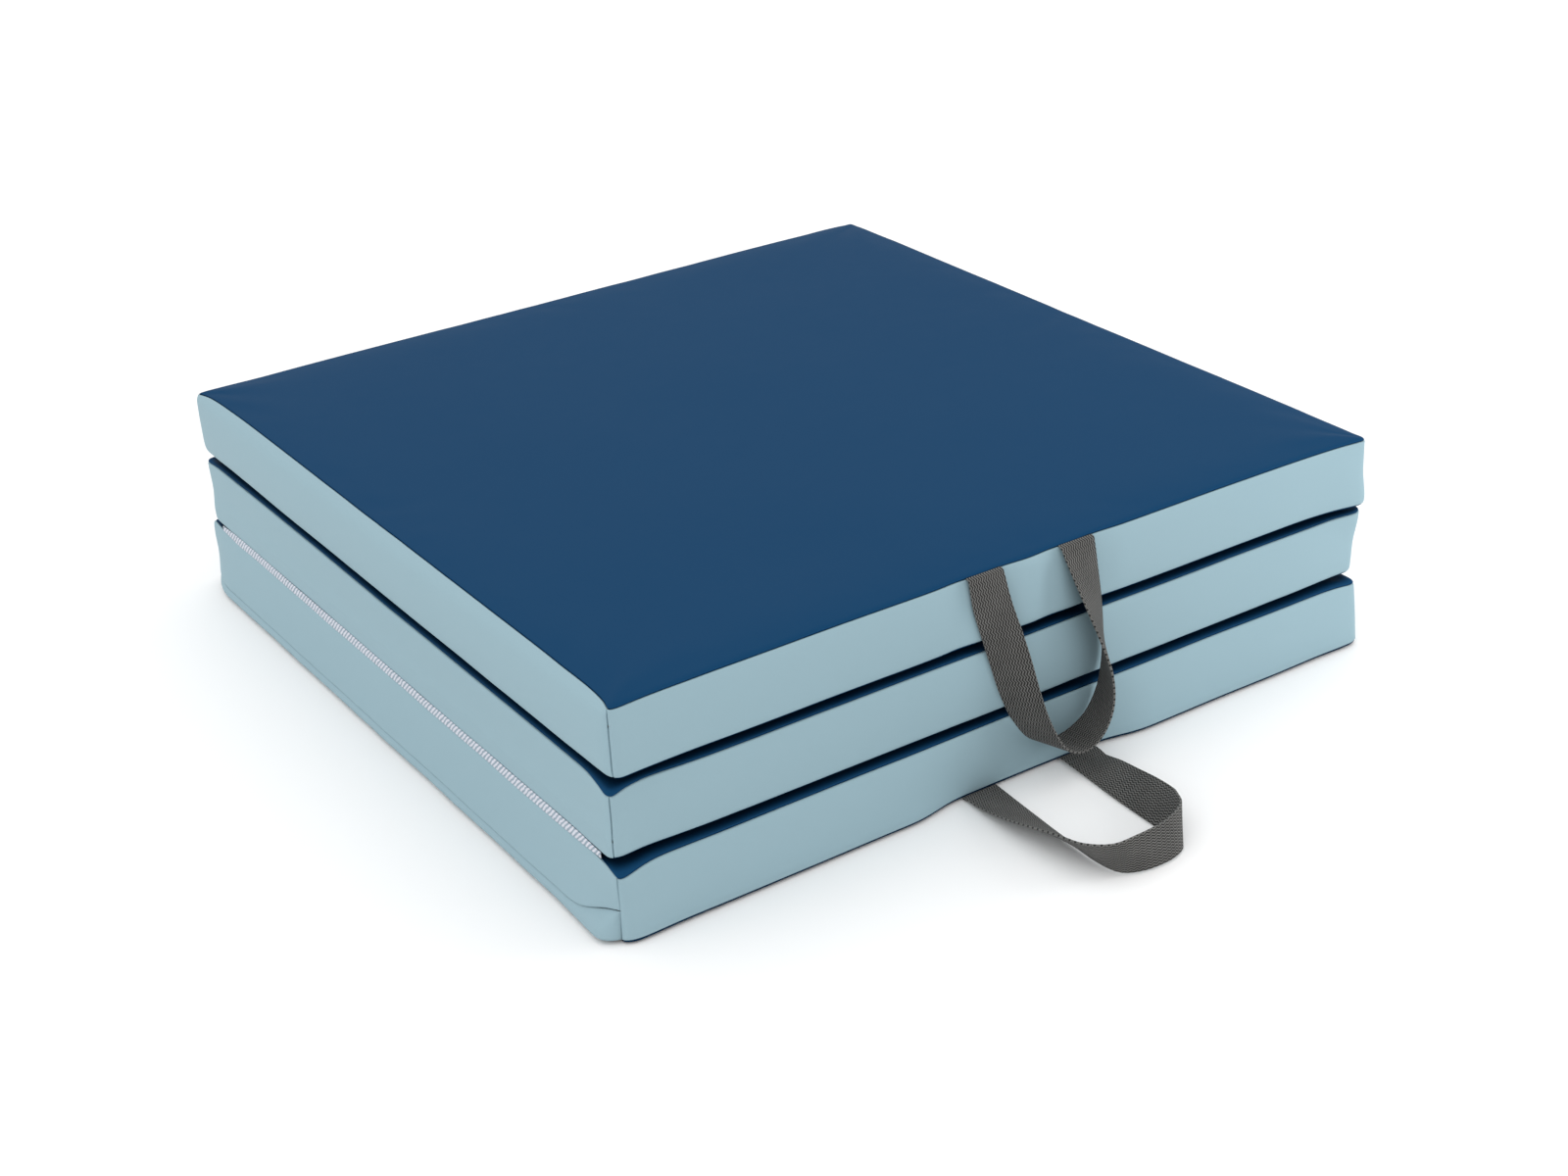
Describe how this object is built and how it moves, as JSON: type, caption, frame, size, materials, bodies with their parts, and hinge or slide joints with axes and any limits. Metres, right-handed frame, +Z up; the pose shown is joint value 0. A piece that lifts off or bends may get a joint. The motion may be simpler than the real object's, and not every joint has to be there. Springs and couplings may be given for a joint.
{
  "type": "folding gym mat",
  "caption": "Foam exercise mat in zipped vinyl panels that fold in a Z into a square stack, with sewn webbing carry loops on one edge.",
  "frame": {"origin": "centre of the lowest panel's underside, where the folded mat rests on the floor", "axes": "+Z up through the stack; +X the way the mat unfolds; fold lines along Y; handles on the -Y walls"},
  "size_m": [0.615, 0.7443, 0.1604],
  "materials": {
    "foam": "open foam",
    "navy_vinyl": "satin, fine grain",
    "pale_blue_vinyl": "satin, fine grain",
    "webbing": "woven",
    "zip_tape": "woven",
    "zip_coil": "nylon coil",
    "fold_tape": "stitched tape",
    "zip_metal": "plated zinc"
  },
  "bodies": {
    "lower_panel": {"lower_foam_core": "foam", "lower_bottom_sheet": "navy_vinyl", "lower_top_sheet": "navy_vinyl", "lower_front_band": "pale_blue_vinyl", "lower_back_band": "pale_blue_vinyl", "lower_right_band": "pale_blue_vinyl", "lower_zip_band_above": "pale_blue_vinyl", "lower_zip_band_below": "pale_blue_vinyl", "lower_zip_tape_above": "zip_tape", "lower_zip_tape_below": "zip_tape", "lower_zip_coil_above": "zip_coil", "lower_zip_coil_below": "zip_coil", "lower_zip_stop_front": "zip_metal", "lower_zip_stop_back": "zip_metal", "lower_fold_leaf_lower": "fold_tape"},
    "lower_slider": {"lower_zip_slider": "zip_metal"},
    "lower_pull": {"lower_zip_pull": "zip_metal"},
    "middle_panel": {"middle_foam_core": "foam", "middle_bottom_sheet": "navy_vinyl", "middle_top_sheet": "navy_vinyl", "middle_front_band": "pale_blue_vinyl", "middle_back_band": "pale_blue_vinyl", "middle_left_band": "pale_blue_vinyl", "middle_zip_band_above": "pale_blue_vinyl", "middle_zip_band_below": "pale_blue_vinyl", "middle_zip_tape_above": "zip_tape", "middle_zip_tape_below": "zip_tape", "middle_zip_coil_above": "zip_coil", "middle_zip_coil_below": "zip_coil", "middle_zip_stop_front": "zip_metal", "middle_zip_stop_back": "zip_metal", "lower_fold_leaf_middle": "fold_tape", "upper_fold_leaf_middle": "fold_tape"},
    "middle_slider": {"middle_zip_slider": "zip_metal"},
    "middle_pull": {"middle_zip_pull": "zip_metal"},
    "upper_panel": {"upper_foam_core": "foam", "upper_bottom_sheet": "navy_vinyl", "upper_top_sheet": "navy_vinyl", "upper_front_band": "pale_blue_vinyl", "upper_back_band": "pale_blue_vinyl", "upper_left_band": "pale_blue_vinyl", "upper_zip_band_above": "pale_blue_vinyl", "upper_zip_band_below": "pale_blue_vinyl", "upper_zip_tape_above": "zip_tape", "upper_zip_tape_below": "zip_tape", "upper_zip_coil_above": "zip_coil", "upper_zip_coil_below": "zip_coil", "upper_zip_stop_front": "zip_metal", "upper_zip_stop_back": "zip_metal", "upper_fold_leaf_upper": "fold_tape"},
    "upper_slider": {"upper_zip_slider": "zip_metal"},
    "upper_pull": {"upper_zip_pull": "zip_metal"},
    "upper_handle": {"upper_handle_strap": "webbing"},
    "lower_handle": {"lower_handle_strap": "webbing"}
  },
  "joints": [
    {"name": "lower_fold", "type": "hinge", "parent": "middle_panel", "child": "lower_panel", "pos_m": [-0.307, 0, 0.0528], "axis": [0, 1, 0], "range_deg": [0, 180]},
    {"name": "upper_fold", "type": "hinge", "parent": "middle_panel", "child": "upper_panel", "pos_m": [0.307, 0, 0.1076], "axis": [0, 1, 0], "range_deg": [0, 180]},
    {"name": "upper_handle_swing", "type": "hinge", "parent": "upper_panel", "child": "upper_handle", "pos_m": [0, -0.3064, 0.159], "axis": [-1, 0, 0], "range_deg": [0, 180]},
    {"name": "lower_handle_swing", "type": "hinge", "parent": "lower_panel", "child": "lower_handle", "pos_m": [0, -0.3056, 0.0011], "axis": [-1, 0, 0], "range_deg": [0, 25]},
    {"name": "lower_zip_slide", "type": "slide", "parent": "lower_panel", "child": "lower_slider", "axis": [0, -1, 0], "range_m": [0, 0.544]},
    {"name": "lower_pull_flip", "type": "hinge", "parent": "lower_slider", "child": "lower_pull", "pos_m": [-0.3065, 0.272, 0.0127], "axis": [0, 0, -1], "range_deg": [0, 180]},
    {"name": "middle_zip_slide", "type": "slide", "parent": "middle_panel", "child": "middle_slider", "axis": [0, -1, 0], "range_m": [0, 0.544]},
    {"name": "middle_pull_flip", "type": "hinge", "parent": "middle_slider", "child": "middle_pull", "pos_m": [0.3065, 0.272, 0.0675], "axis": [0, 0, 1], "range_deg": [0, 180]},
    {"name": "upper_zip_slide", "type": "slide", "parent": "upper_panel", "child": "upper_slider", "axis": [0, 1, 0], "range_m": [0, 0.544]},
    {"name": "upper_pull_flip", "type": "hinge", "parent": "upper_slider", "child": "upper_pull", "pos_m": [0.3065, -0.272, 0.1477], "axis": [0, 0, -1], "range_deg": [0, 180]}
  ]
}
